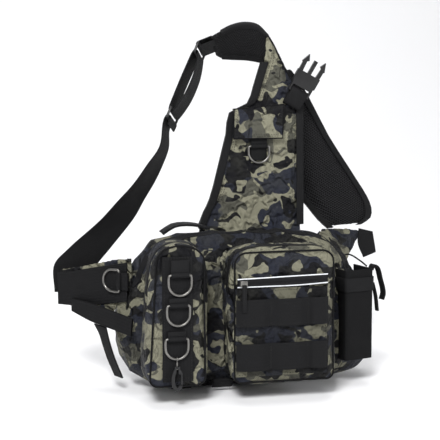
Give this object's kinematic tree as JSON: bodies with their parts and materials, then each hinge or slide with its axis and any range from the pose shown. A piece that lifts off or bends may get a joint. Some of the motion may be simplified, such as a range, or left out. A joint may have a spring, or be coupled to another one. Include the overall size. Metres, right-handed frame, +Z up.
{
  "type": "fishing tackle sling bag",
  "caption": "Camouflage sling bag with padded body, front pouches, side holster, padded shoulder yoke, curved back pad and webbing strap with slides.",
  "frame": {"origin": "shoulder rest, under the top of the strap where it arches over the wearer's shoulder", "axes": "+X to the bag's right, +Y to the wearer, +Z up"},
  "size_m": [0.4487, 0.2237, 0.4676],
  "materials": {
    "camouflage_cloth": "matte woven cloth with a camouflage print",
    "black_webbing": "woven",
    "zip_tape": "woven tape with coil teeth",
    "spacer_mesh": "open knitted mesh",
    "black_plastic": "satin",
    "dark_metal": "satin",
    "reflective_piping": "satin"
  },
  "bodies": {
    "bag": {"arch_binding_lower": "black_webbing", "arch_binding_upper": "black_webbing", "arch_strap": "spacer_mesh", "back_pad": "spacer_mesh", "base_keeper_1": "black_webbing", "base_keeper_2": "black_webbing", "belt_tail": "black_webbing", "buckle_male": "black_plastic", "buckle_webbing": "black_webbing", "grab_handle": "black_webbing", "holster": "black_webbing", "holster_band": "black_webbing", "holster_cord": "black_webbing", "holster_pull": "black_webbing", "holster_strap": "black_webbing", "left_pouch": "camouflage_cloth", "left_pouch_zipper": "zip_tape", "left_wing": "camouflage_cloth", "lower_slide": "black_plastic", "main_body": "camouflage_cloth", "main_zipper": "zip_tape", "pad_binding_inner": "black_webbing", "pad_binding_outer": "black_webbing", "pocket_flap": "camouflage_cloth", "pouch_ring_tab_1": "black_webbing", "pouch_ring_tab_2": "black_webbing", "pouch_ring_tab_3": "black_webbing", "pouch_webbing": "black_webbing", "reflective_edge_lower": "reflective_piping", "reflective_edge_upper": "reflective_piping", "right_pocket": "camouflage_cloth", "right_pocket_zipper": "zip_tape", "right_web_end": "black_webbing", "right_wing": "camouflage_cloth", "shoulder_webbing": "black_webbing", "side_belt": "black_webbing", "slash_pocket": "camouflage_cloth", "slash_pull": "black_webbing", "slash_slider": "dark_metal", "slash_zipper": "zip_tape", "upper_slide": "black_plastic", "webbing_loop": "black_webbing", "webbing_loops_lower": "black_webbing", "webbing_loops_upper": "black_webbing", "wing_band": "black_webbing", "wing_ring_tab": "black_webbing", "yoke_binding_left": "black_webbing", "yoke_binding_right": "black_webbing", "yoke_panel": "camouflage_cloth", "yoke_pocket": "camouflage_cloth", "yoke_ring_tab": "black_webbing"},
    "pouch_ring_1": {"pouch_ring_1": "dark_metal"},
    "pouch_ring_2": {"pouch_ring_2": "dark_metal"},
    "pouch_ring_3": {"pouch_ring_3": "dark_metal"},
    "hook_eye": {"hook_eye": "dark_metal"},
    "hook": {"hook_body": "black_plastic"},
    "hook_gate": {"hook_gate": "black_plastic"},
    "yoke_ring": {"yoke_ring": "dark_metal"},
    "wing_ring": {"wing_ring": "dark_metal"}
  },
  "joints": [
    {"name": "pouch_ring_1_hinge", "type": "hinge", "parent": "bag", "child": "pouch_ring_1", "pos_m": [-0.1225, -0.19485, -0.255], "axis": [-1, 0, 0], "range_deg": [0, 100]},
    {"name": "pouch_ring_2_hinge", "type": "hinge", "parent": "bag", "child": "pouch_ring_2", "pos_m": [-0.1247, -0.19485, -0.292], "axis": [-1, 0, 0], "range_deg": [0, 100]},
    {"name": "pouch_ring_3_hinge", "type": "hinge", "parent": "bag", "child": "pouch_ring_3", "pos_m": [-0.1269, -0.19485, -0.333], "axis": [-1, 0, 0], "range_deg": [0, 60]},
    {"name": "hook_eye_hinge", "type": "hinge", "parent": "pouch_ring_3", "child": "hook_eye", "pos_m": [-0.1269, -0.19485, -0.358], "axis": [-1, 0, 0], "range_deg": [0, 40]},
    {"name": "hook_swivel", "type": "hinge", "parent": "hook_eye", "child": "hook", "pos_m": [-0.1269, -0.19485, -0.367], "axis": [0, 0, 1], "range_deg": [-12, 12]},
    {"name": "hook_gate_hinge", "type": "hinge", "parent": "hook", "child": "hook_gate", "pos_m": [-0.1215, -0.19485, -0.37845], "axis": [0, 1, 0], "range_deg": [0, 20], "stiffness_Nm_per_rad": 0.01, "springref_deg": -11.46},
    {"name": "yoke_ring_hinge", "type": "hinge", "parent": "bag", "child": "yoke_ring", "pos_m": [0.0125, -0.04995, -0.112], "axis": [-1, 0, 0], "range_deg": [0, 100]},
    {"name": "wing_ring_hinge", "type": "hinge", "parent": "bag", "child": "wing_ring", "pos_m": [-0.18182, -0.09382, -0.277], "axis": [0, 0, 1], "range_deg": [0, 90]}
  ]
}
